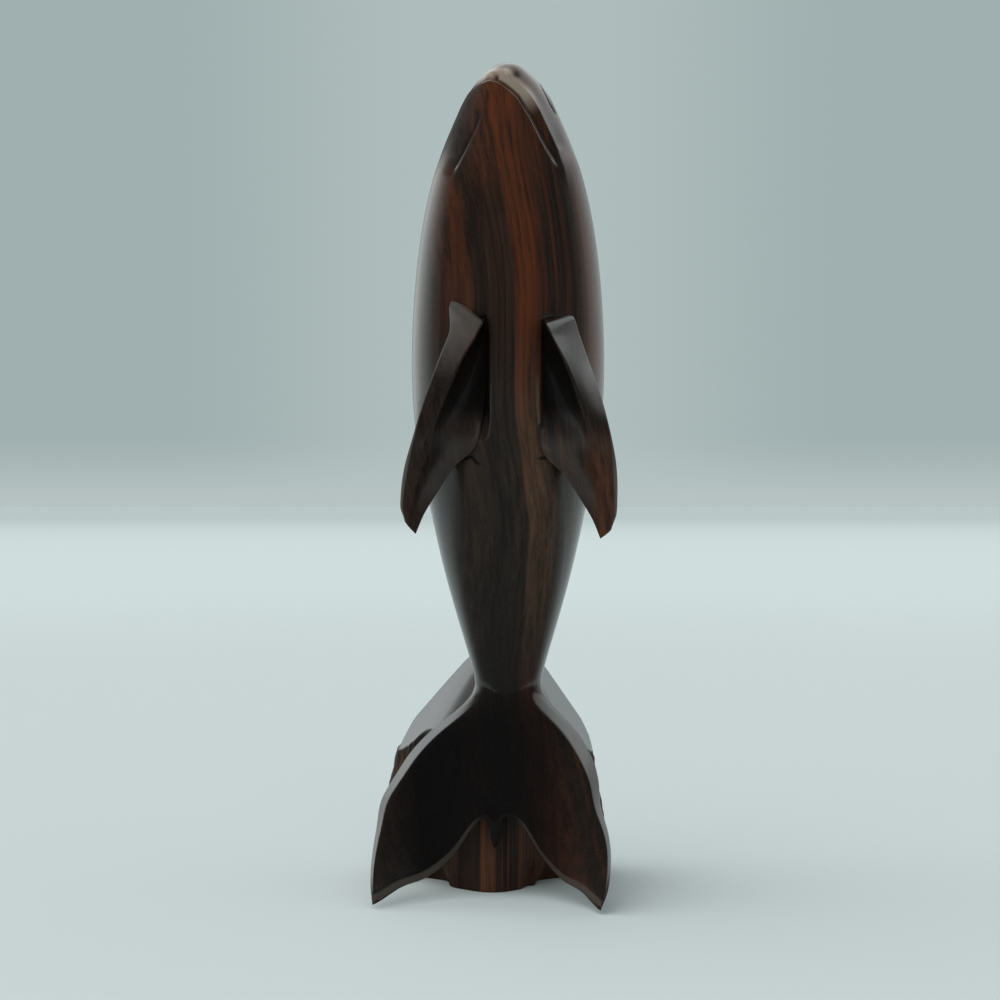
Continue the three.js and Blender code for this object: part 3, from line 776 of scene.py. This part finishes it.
# Share of the way down, then outer edge, crest and root as shares of chest half width and belly depth
FLIPPER_STATIONS = np.array([
    (0.0, 0.53, -0.72, 0.32, -0.86, 0.24, -0.84), (0.03, 0.62, -0.77, 0.31, -1.18, 0.24, -0.88),
    (0.1, 0.68, -0.745, 0.385, -1.215, 0.24, -0.9), (0.21, 0.77, -0.765, 0.52, -1.2, 0.24, -0.9),
    (0.36, 0.885, -0.9, 0.665, -1.15, 0.25, -0.9), (0.5, 0.975, -0.965, 0.785, -1.12, 0.28, -0.92),
    (0.63, 1.045, -0.945, 0.87, -1.06, 0.34, -0.89), (0.72, 1.075, -0.91, 0.93, -0.985, 0.55, -0.86),
    (0.81, 1.085, -0.865, 0.975, -0.92, 0.69, -0.84), (0.91, 1.08, -0.82, 1.0, -0.86, 0.835, -0.81),
    (1.0, 1.035, -0.785, 0.985, -0.81, 0.925, -0.78),
])
# How far the hollow falls behind the root before it rises to the crest, along the way down
HOLLOW_FALL = [1.6, 2.0, 2.4, 2.8, 3.2, 3.6, 3.6, 2.0, 1.0, 0.4, 0.0]
TIP_SLANT = {-1: 3.6, 1: 2.6}
FACET_TRIM = {-1: 0.3, 1: 0.0}
EDGE_BEVEL = 0.3
SHOULDER_DEPTH = 12
BACK_FULLNESS = 0.45
FLIPPER_RINGS = 150
FACET_POINTS = 18
HOLLOW_POINTS = 30
REAR_POINTS = FACET_POINTS + HOLLOW_POINTS + 1


def bend(start, end, depth, shares, fullness=1.0):
    """Curve from start to end that sags by depth in its middle, along y."""
    line = start[:, None] + (end - start)[:, None] * shares[None, :, None]
    line[..., 1] += depth[:, None] * ((4 * shares * (1 - shares)) ** fullness)[None, :]
    return line


def flipper_grid(side):
    """Rings from the outer edge behind to the root, and back over the hollow, crest and facet."""
    at = np.linspace(0, 1, FLIPPER_RINGS)
    table = np.stack([through(column, at) for column in FLIPPER_STATIONS.T])
    down = table[0]
    turn = np.radians(FLIPPER_TURN) * (1 - down)
    top, slant = SHOULDERS[side]

    def corner(x_share, y_share):
        x, y = side * x_share * CHEST_WIDTH / 2, y_share * CHEST_BELLY
        spots = [x * np.cos(turn) - y * np.sin(turn), x * np.sin(turn) + y * np.cos(turn)]
        return np.stack([*spots, top - down * (top - FLIPPER_TIPS[side])], axis=1)

    outer, crest, root = corner(*table[1:3]), corner(*table[3:5]), corner(*table[5:7])
    crest[:, 2] -= slant * (1 - down)
    lift = TIP_SLANT[side] * ramp(0.85, 1, down)
    outer[:, 2] += lift
    crest[:, 2] += 0.5 * lift
    trim = FACET_TRIM[side] * band(down, 0.02, 0.15, 0.55, 0.95)
    outer += (crest - outer) * trim[:, None]
    width = np.linalg.norm(outer - crest, axis=1)
    softer = EDGE_BEVEL * (1 + 3 * ramp(0.5, 0.75, down))
    bevel = np.minimum(softer / np.maximum(width, 1e-6), 0.3)[:, None]
    sunk = SHOULDER_DEPTH * band(down, 0, 0.06, 0.5, 0.8)
    sunk = sunk + 0.2 * np.linalg.norm(outer - root, axis=1)
    rear_run = (1 - np.cos(np.linspace(0, math.pi, REAR_POINTS))) / 2
    rear = bend(outer, root, sunk, rear_run, BACK_FULLNESS)
    cut = (crest - outer) * bevel
    facet = bend(outer + cut, crest - cut, -0.02 * width, np.linspace(0, 1, FACET_POINTS))
    start = (crest + (root - crest) * np.minimum(bevel, 0.1))[:, None]
    valley = root + (crest - root) * 0.5
    valley[:, 1] = np.maximum(root[:, 1] + through(HOLLOW_FALL, at), valley[:, 1])
    run = np.linspace(0, 1, HOLLOW_POINTS)[None, :, None]
    hollow = (1 - run) ** 2 * start + 2 * run * (1 - run) * valley[:, None] + run**2 * root[:, None]
    ring = np.concatenate([rear, hollow[:, -2::-1], facet[:, ::-1]], axis=1)
    return ring if side > 0 else np.concatenate([ring[:, :1], ring[:, :0:-1]], axis=1)


print("flippers have", FLIPPER_RINGS, "rings each")

# %% Flipper pieces
# Grey tone of the painted highlight, sheen and reflection on the flippers
PAINTED_GREY_SHEEN = (108, 107, 102)
FACET_SHEEN = {-1: 0.55, 1: 0.0}


def flipper(name, side, node, material):
    rings = flipper_grid(side)
    count = rings.shape[1]
    level = rings[..., 2]
    place = np.arange(count) if side > 0 else (-np.arange(count)) % count
    down = np.linspace(0, 1, FLIPPER_RINGS)[:, None]
    # Painted highlight along the outer edge, painted sheen on the upper part of the left facet
    edges = np.where((place == 0) | (place == count - 1), 0.4, 0)
    hollow = ((place >= REAR_POINTS - 2) & (place < count - FACET_POINTS - 2)) * 1.0
    outward = np.clip((place - count + FACET_POINTS) / FACET_POINTS, 0, 1)
    facet = FACET_SHEEN[side] * (0.6 * (outward > 0) + 0.4 * outward) * ramp(0.4, 0.18, down)
    # Grey painted reflection low in the hollow
    blade = 0.2 * hollow * ramp(138, 132, level) * ramp(0.92, 0.78, down)
    near_crest = hollow * ramp(0.45, 0.75, (place - REAR_POINTS) / HOLLOW_POINTS)
    dull = np.maximum(outward > 0, near_crest) * ramp(0.5, 0.62, down)
    painted_sheen = np.maximum(np.maximum(edges, facet), blade * (1 - dull))
    # Painted shade in the upper part of the hollow
    carved = 0.85 * hollow * ramp(137, 145, level)
    marks = {"painted_sheen": painted_sheen.ravel(), "carved": carved.ravel(), "dull": dull.ravel()}
    faces = loft_faces(FLIPPER_RINGS, count, False, False)
    settle(mesh_object(name, rings.reshape(-1, 3), faces, material, marks), node)


left_wood = wood("waxed_wood_left_flipper", 0.5, (22, 20, 19), (37, 32, 28), (89, 45, 26), sheen_tone=PAINTED_GREY_SHEEN)
right_wood = wood(
    "waxed_wood_right_flipper", 0.8, (26, 24, 22), (42, 36, 31), (104, 56, 28),
    sheen_tone=PAINTED_GREY_SHEEN, shift=5, red_below=138,
)
flipper("carved_flipper_left", -1, "left_flipper", left_wood)
flipper("carved_flipper_right", 1, "right_flipper", right_wood)

# %% [markdown]
# ## Dorsal fin
# The photograph doesn't show the back. A dolphin has a swept fin there, so the carving gets one, with the
# blade's section a thin leaf and a flare at its foot where the knife would have rounded the corner.

# %% Dorsal fin
FIN_TOP = 156.1
FIN_ROOT = 38
FIN_HEIGHT = 22
FIN_SWEEP = 38
FIN_THICKNESS = 9
FIN_BURY = 6
FIN_FLARE = 3
# Share of the way out, leading edge, trailing edge, thickness
FIN_STATIONS = np.array([
    (0.0, 0.0, 1.0, 1.0), (0.22, 0.12, 0.97, 0.92), (0.42, 0.3, 0.9, 0.78), (0.65, 0.54, 0.875, 0.58),
    (0.85, 0.78, 0.92, 0.38), (0.96, 0.94, 0.985, 0.22), (1.0, 1.02, 1.02, 0.1),
])
FIN_RINGS = 70
FIN_POINTS = 72


def body_back_at(level):
    """How far back the body reaches at a level, in its middle plane."""
    rear = body_rings[:, BODY_POINTS // 4]
    upper = rear[:, 2] > STOCK_HEIGHT
    order = np.argsort(rear[upper, 2])
    return np.interp(level, rear[upper][order, 2], rear[upper][order, 1])


def fin_grid():
    at = np.linspace(0, 1, FIN_RINGS)
    out, lead, trail, thick = (through(column, at)[:, None] for column in FIN_STATIONS.T)
    seat = body_back_at(FIN_TOP - FIN_ROOT / 2)
    bearing = ((np.arange(FIN_POINTS) + 0.5) / FIN_POINTS * 2 * math.pi)[None, :]
    along = (1 + np.cos(bearing)) / 2
    past_skin = np.maximum(out * (FIN_HEIGHT + FIN_BURY) - FIN_BURY, 0)
    flare = FIN_FLARE * np.exp(-past_skin / 2.2)
    half = FIN_THICKNESS * thick / 2 + flare
    x = -half * np.sin(bearing) * (0.75 + 0.35 * along)
    y = seat - FIN_BURY + out * (FIN_HEIGHT + FIN_BURY) + 0 * along
    top = FIN_TOP - lead * FIN_SWEEP + flare
    foot = FIN_TOP - FIN_ROOT * trail - flare
    return np.stack([x, y, foot + (top - foot) * along], axis=2)


fin_faces = loft_faces(FIN_RINGS, FIN_POINTS, False, False)
fin = mesh_object("carved_fin", fin_grid().reshape(-1, 3), fin_faces, heartwood)
settle(fin, "dorsal_fin")

# %% [markdown]
# ## Base
# The block under the tail is a piece of the branch itself. Its top was cut to slopes and polished with
# the dolphin, with one more facet beside the left fluke, and its sides were left as they split. The form
# is a loft from the floor to the mound behind the tail stock. Where the sides are rough, an attribute
# says so, and a Geometry Nodes tree roughens the skin along its own direction.

# %% Base sizes
BASE_LEFT = 41
BASE_RIGHT = 30.5
BASE_FRONT = 13
BASE_BACK = 46
SHOULDER_HEIGHT = 39.5
FOOT_SHOULDER = 30
ROOF_TOP = 73
ROOF_SLOPES = {"left": 1.34, "right": 1.67, "back": 2.2}
ROOF_FALL = 0.3
ROOF_CORNER_DEPTH = 27
ROOF_SOFTNESS = 2.2
# Facet beside the left fluke: its level at the middle, its rise to the right and to the back
FLUKE_FACET = (69.8, 1.03, 0.55)
BULGE_HEIGHT = 14
FLOOR_INSET = 0.88
LEFT_INSET = 0.82
RIGHT_INSET = 0.875
BACK_INSET = 0.84
FLOOR_TUCK = {"left": 0.28, "right": 0.5}
TUCK_DEPTH = 6
TUCK_REACH = 11
FOOT_START = 3.5
HEART = np.array([-1.5, 21.0, 0.0])
BASE_OUTLINE = np.array([
    (-0.12, -0.97), (0.12, -0.62), (0.3, -0.2), (0.53, 0.0), (0.69, 0.18), (0.9, 0.34), (1.0, 0.56),
    (0.88, 0.82), (0.42, 1.0), (-0.25, 1.0), (-0.75, 0.93), (-1.0, 0.64), (-0.92, 0.4), (-0.795, 0.27),
    (-0.68, 0.14), (-0.56, -0.1), (-0.36, -0.55),
])
BASE_POINTS = 240
BASE_RINGS = {"under": 24, "foot": 25, "side": 43, "roof": 76}
print("base outline of", len(BASE_OUTLINE), "corners")


# %% Base skin
def closed_outline(corners, count):
    """Evenly spaced points on a smooth closed curve through the corners."""
    loop = np.concatenate([corners[-2:], corners, corners[:3]])
    steps = len(loop) - 1
    fine = np.linspace(2 / steps, (2 + len(corners)) / steps, 6000)
    curve = np.stack([through(line, fine) for line in loop.T], axis=1)
    walk = np.concatenate([[0], np.cumsum(np.linalg.norm(np.diff(curve, axis=0), axis=1))])
    at = np.linspace(0, walk[-1], count + 1)[:-1]
    return np.stack([np.interp(at, walk, line) for line in curve.T], axis=1)


def polished_top(ring):
    """Height of the polished top: soft meetings of its slopes, falling to the foot at the front."""
    x, y = ring[:, 0], ring[:, 1]
    fall = ROOF_FALL * (y - ROOF_CORNER_DEPTH)
    left = HEART[0] + (-BASE_LEFT - HEART[0]) * LEFT_INSET
    right = HEART[0] + (BASE_RIGHT - HEART[0]) * RIGHT_INSET
    back = HEART[1] + (BASE_BACK - HEART[1]) * BACK_INSET
    slopes = [
        SHOULDER_HEIGHT + ROOF_SLOPES["left"] * (x - left) + fall,
        SHOULDER_HEIGHT + ROOF_SLOPES["right"] * (right - x) + fall,
        SHOULDER_HEIGHT + ROOF_SLOPES["back"] * (back - y),
        FLUKE_FACET[0] + FLUKE_FACET[1] * x + FLUKE_FACET[2] * y,
        ROOF_TOP + 0 * x,
    ]
    roof = -ROOF_SOFTNESS * np.log(sum(np.exp(-slope / ROOF_SOFTNESS) for slope in slopes))
    low = ramp(FOOT_START, BASE_FRONT, -y)
    return roof * (1 - low) + FOOT_SHOULDER * low


def towards_heart(ring, keep):
    """The ring drawn in towards the upright through the heart of the block, on the floor."""
    moved = HEART + (ring - HEART) * keep
    moved[:, 2] = 0
    return moved


def base_grid():
    """Rings from the top down to the floor, with the marks of rough sides and of the dull foot."""
    reach = np.where(BASE_OUTLINE > 0, (BASE_RIGHT, BASE_BACK), (BASE_LEFT, BASE_FRONT))
    flat = closed_outline(BASE_OUTLINE * reach, BASE_POINTS)
    bulge = np.concatenate([flat, np.full((BASE_POINTS, 1), BULGE_HEIGHT)], axis=1)
    foot = ramp(-0.55 * HEART[1], BASE_FRONT, -bulge[:, 1])
    across = ramp(-BASE_LEFT / 2, BASE_RIGHT / 2, bulge[:, 0])

    floor = towards_heart(bulge, (FLOOR_INSET + (1 - FLOOR_INSET) * foot)[:, None])
    tuck = np.where(floor[:, 0] < HEART[0], FLOOR_TUCK["left"], FLOOR_TUCK["right"])
    tuck = tuck * bell(floor[:, 1] - TUCK_DEPTH, TUCK_REACH)
    floor[:, 0] = HEART[0] + (floor[:, 0] - HEART[0]) * (1 - tuck)
    inset = LEFT_INSET + (RIGHT_INSET - LEFT_INSET) * across
    shoulder = towards_heart(bulge, (inset + (1 - inset) * foot)[:, None])
    shoulder[:, 1] -= foot
    shoulder[:, 2] = polished_top(shoulder)
    rings, rough = [], []

    def between(first, second, shares, roughness):
        for share in shares:
            rings.append(first + (second - first) * share)
            rough.append(roughness * (1 - 0.85 * foot) * ramp(0, 3, rings[-1][:, 2]))

    middle = np.repeat(HEART[None], BASE_POINTS, axis=0)
    between(middle, floor, np.linspace(0, 0.98, BASE_RINGS["under"]), 0.0)
    between(floor, bulge, np.linspace(0, 1, BASE_RINGS["foot"] + 1)[:-1], 1.0)
    between(bulge, shoulder, np.linspace(0, 1, BASE_RINGS["side"] + 1)[:-1], 1.0)
    sides = len(rings)
    between(shoulder, HEART, np.linspace(0, 1, BASE_RINGS["roof"]), 0.0)
    for ring in rings[sides:]:
        ring[:, 2] = polished_top(ring)
    dull = np.repeat(0.75 * ramp(0.3, 0.8, foot)[None], len(rings), axis=0)
    return np.array(rings)[::-1], np.array(rough)[::-1], dull


base_rings, base_rough, base_dull = base_grid()
print("base has", len(base_rings), "rings of", BASE_POINTS, "points")


# %% Rough sides of the base
def rough_sides_tree(material):
    solid = {"Geometry": "Geometry"}
    sizes = dict.fromkeys(("Ridge Depth", "Chip Depth", "Seed"), "Float")
    tree, entry, leave = open_group("rough_sides", "GeometryNodeTree", solid | sizes, solid)
    place = tree.add("GeometryNodeInputPosition").outputs[0]
    rough = tree.add("GeometryNodeInputNamedAttribute", {"Name": "rough"}, data_type="FLOAT")

    def layer(stretch, detail, depth):
        squeezed = tree.vector("MULTIPLY", {0: place, 1: stretch})[0]
        return tree.times(tree.calc("SUBTRACT", tree.noise(squeezed, entry["Seed"], detail), 0.5), depth)

    ridges = layer((170, 170, 45), 2, entry["Ridge Depth"])
    chips = layer((620, 620, 260), 3, entry["Chip Depth"])
    push = tree.times(tree.plus(ridges, chips), rough.outputs["Attribute"], MM)
    normal = tree.add("GeometryNodeInputNormal").outputs[0]
    offset = tree.vector("SCALE", {0: normal, "Scale": push})[0]
    moved = tree.add("GeometryNodeSetPosition", {"Geometry": entry["Geometry"], "Offset": offset})
    whole = tree.add("GeometryNodeRealizeInstances", {0: moved.outputs[0]})
    finish = tree.add("GeometryNodeSetMaterial", {"Geometry": whole.outputs[0], "Material": material})
    tree.feed(leave[0], finish.outputs[0])
    return tree.tree


def grown_by_nodes(piece, tree, sizes):
    """Runs a node tree on a piece and keeps the result as a plain mesh."""
    modifier = piece.modifiers.new(tree.name, "NODES")
    modifier.node_group = tree
    for socket in tree.interface.items_tree:
        if socket.in_out == "INPUT" and socket.name in sizes:
            modifier[socket.identifier] = sizes[socket.name]
    ready = piece.evaluated_get(bpy.context.evaluated_depsgraph_get())
    plain = bpy.data.meshes.new_from_object(ready)
    piece.modifiers.remove(modifier)
    piece.data = plain
    print(piece.name, "grown to", len(plain.polygons), "faces by", tree.name)


base_wood = wood(
    "branch_wood", 1.0, (22, 19, 18), (42, 33, 28), (100, 60, 38),
    seed=3.0, squeeze=2.0, shift=22, red_below=38,
)
base_faces = loft_faces(len(base_rings), BASE_POINTS, True, True)
base_marks = {"rough": base_rough.ravel(), "dull": base_dull.ravel()}
base = mesh_object("branch_base", base_rings.reshape(-1, 3), base_faces, base_wood, base_marks)
grown_by_nodes(base, rough_sides_tree(base_wood), {"Ridge Depth": 3.0, "Chip Depth": 1.2, "Seed": 4.0})
settle(base, "base")

# %% [markdown]
# ## Eyes
# From the front only the rim of one eye shows, as a dark line on the outline of the head. Each eye is a
# small domed almond of nearly black wood, let into the side of the head.

# %% Eyes
eye_wood = wood("eye_heartwood", 0.1, (12, 9, 8), (20, 15, 13), (30, 18, 14), seed=7.0)
EYE_RINGS = 14
EYE_POINTS = 48
EYE_DOME = 0.28


def eye_piece(name, node):
    """Almond that follows the head's curve, a little domed, with a rim let into the wood."""
    seat, up, across, out, curve = eye_seats[node]
    turns = np.arange(EYE_POINTS) / EYE_POINTS * 2 * math.pi
    profile = [(s, EYE_DOME * (1 - s * s)) for s in np.linspace(0, 1, EYE_RINGS)]
    profile += [(1.0, -0.6), (0.95, -1.3), (0.5, -1.4), (0.0, -1.4)]
    rings = []
    for reach, rise in profile:
        u = reach * EYE_LONG * np.cos(turns)
        v = reach * EYE_WIDE * np.sin(turns) * (0.75 + 0.25 * np.abs(np.sin(turns)))
        h = dome_terms(u, v) @ curve + rise
        rings.append(seat + u[:, None] * up + v[:, None] * across + h[:, None] * out)
    last = (len(rings) - 1) * EYE_POINTS
    faces = loft_faces(len(rings), EYE_POINTS, True, True)
    faces = [tuple(0 if p < EYE_POINTS else last if p >= last else p for p in face) for face in faces]
    settle(mesh_object(name, np.concatenate(rings), faces, eye_wood), node)


eye_piece("inlaid_eye_left", "left_eye")
eye_piece("inlaid_eye_right", "right_eye")

# %% [markdown]
# ## Dowels
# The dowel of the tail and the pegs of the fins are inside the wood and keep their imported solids. They
# are plain turned pale wood.

# %% Dowels
dowel_wood = wood("dowel_wood", 0.2, (128, 96, 64), (166, 130, 92), (170, 120, 84), seed=11.0)
for node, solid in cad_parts.items():
    if "peg" in node or "dowel" in node:
        solid.data.materials.clear()
        solid.data.materials.append(dowel_wood)
        print(node, "in", dowel_wood.name)

# %% [markdown]
# ## Floor and light
# The figurine stood on a pale sheet with daylight from the sides and from behind, and a dim room in front
# of it, where the camera was. That is why its outline shines and its belly stays dark. The world gives
# that: pale all round, dim in a wide patch ahead and above. Only reflections see the dim patches, of which
# one is on the sheet, and the bright corners. The backdrop that the camera sees is a little paler behind
# the figurine.

# %% Floor
FLOOR_REACH = 40.0
FLOOR_POINTS = 64
floor_mesh = bpy.data.meshes.new("pale_floor")
turns = np.linspace(0, 2 * math.pi, FLOOR_POINTS + 1)[:-1]
floor_points = [(FLOOR_REACH * math.cos(a), FLOOR_REACH * math.sin(a), 0) for a in turns]
floor_mesh.from_pydata(floor_points, [], [tuple(range(FLOOR_POINTS))])
floor = bpy.data.objects.new("pale_floor", floor_mesh)
show(floor)
floor_paint = bpy.data.materials.new("pale_floor")
floor_paint.use_nodes = True
floor_mesh.materials.append(floor_paint)

sheet = Tree(floor_paint.node_tree)
sheet_shader = sheet.tree.nodes["Principled BSDF"].inputs
sheet_place = sheet.add("ShaderNodeTexCoord").outputs["Object"]
sheet_x, sheet_y, _ = sheet.split(sheet_place)
away = sheet.vector("LENGTH", {0: sheet_place})["Value"]
# Painted light and shade on the sheet: darker near the figurine, paler a few metres out, darker again far
# off
painted_near_shade = sheet.mix(sheet.ease(away, 0.7, 2.4), srgb(206, 215, 214), srgb(213, 223, 222))
painted_floor_falloff = sheet.mix(sheet.ease(away, 4.0, 15.0), painted_near_shade, srgb(188, 199, 198))
widening = sheet.times(sheet.calc("MINIMUM", sheet_y, 0.0), 0.6)
sideways = sheet.plus(sheet.calc("ABSOLUTE", sheet_x), widening)
shine = sheet.add("ShaderNodeLightPath").outputs["Is Glossy Ray"]
room_side = sheet.times(shine, sheet.ease(sheet_y, 0.2, 0.02), sheet.ease(sideways, 0.42, 0.28))
sheet.feed(sheet_shader["Base Color"], sheet.mix(room_side, painted_floor_falloff, srgb(88, 91, 91)))
sheet_shader["Roughness"].default_value = 0.7
sheet_shader["Specular IOR Level"].default_value = 0.1
print("floor", floor.name, "of", len(sheet.tree.nodes), "shader nodes")

# %% World and lamps
world = bpy.data.worlds.new("daylight_room")
scene.world = world
world.use_nodes = True
sky = Tree(world.node_tree)
sky.tree.nodes.clear()
calc, ease, mix, times = sky.calc, sky.ease, sky.mix, sky.times
path = sky.add("ShaderNodeLightPath").outputs
sky_x, sky_y, sky_z = sky.split(sky.add("ShaderNodeTexCoord").outputs["Generated"])
beside = calc("ABSOLUTE", sky_x)
# Painted light on the backdrop: a paler band right behind the figurine
backdrop = mix(ease(beside, 0.15, 0.03), srgb(160, 175, 175), srgb(174, 189, 188))
wall = mix(ease(sky_z, -0.005, 0.03), srgb(183, 195, 195), backdrop)

left_dim = times(ease(sky_x, -0.1, -0.4), ease(sky_z, 0.27, 0.38), ease(sky_y, 0.75, 0.5, 0.0, 0.85))
right_dim = times(ease(sky_x, 0.15, 0.4), ease(sky_z, 0.44, 0.36), ease(sky_y, 0.97, 0.9, 0.0, 0.45))
side_lit = calc("SUBTRACT", 1.0, calc("MAXIMUM", left_dim, right_dim))
behind = times(ease(sky_y, 0.0, 0.75), side_lit)
right_up = times(ease(sky_x, 0.2, 0.5), ease(sky_z, 0.36, 0.46), ease(sky_y, -0.12, 0.06))
wide = calc("MAXIMUM", ease(beside, 0.2, 0.5), ease(sky_z, 0.15, 0.45))
bright_back = mix(wide, srgb(168, 180, 180), (1.02, 1.08, 1.08, 1))
half_lit = mix(behind, srgb(34, 36, 37), bright_back)
seen_shine = mix(right_up, half_lit, (1.05, 1.1, 1.1, 1))
seen = mix(path["Is Glossy Ray"], srgb(178, 184, 186), seen_shine)
straight = calc("MAXIMUM", path["Is Camera Ray"], path["Is Transmission Ray"])
glow = sky.add("ShaderNodeBackground", {"Color": mix(straight, seen, wall)})
sky.add("ShaderNodeOutputWorld", {"Surface": glow.outputs[0]})


def daylight(name, place, strength, softness):
    """Soft sun that shines from a place towards the foot of the figurine, unseen by reflections."""
    lamp = bpy.data.lights.new(name, "SUN")
    lamp.energy = strength
    lamp.angle = math.radians(softness)
    holder = bpy.data.objects.new(name, lamp)
    holder.visible_glossy = False
    x, y, z = place
    holder.location = place
    holder.rotation_euler = (math.atan2(math.hypot(x, y), z), 0, math.atan2(-x, y) + math.pi)
    show(holder)


daylight("top_light", (-1.1, 0.4, 1.8), 1.4, 70)
daylight("front_fill", (-0.4, -1.6, 1.2), 0.75, 60)

# %% View settings
scene.view_settings.view_transform = "Standard"
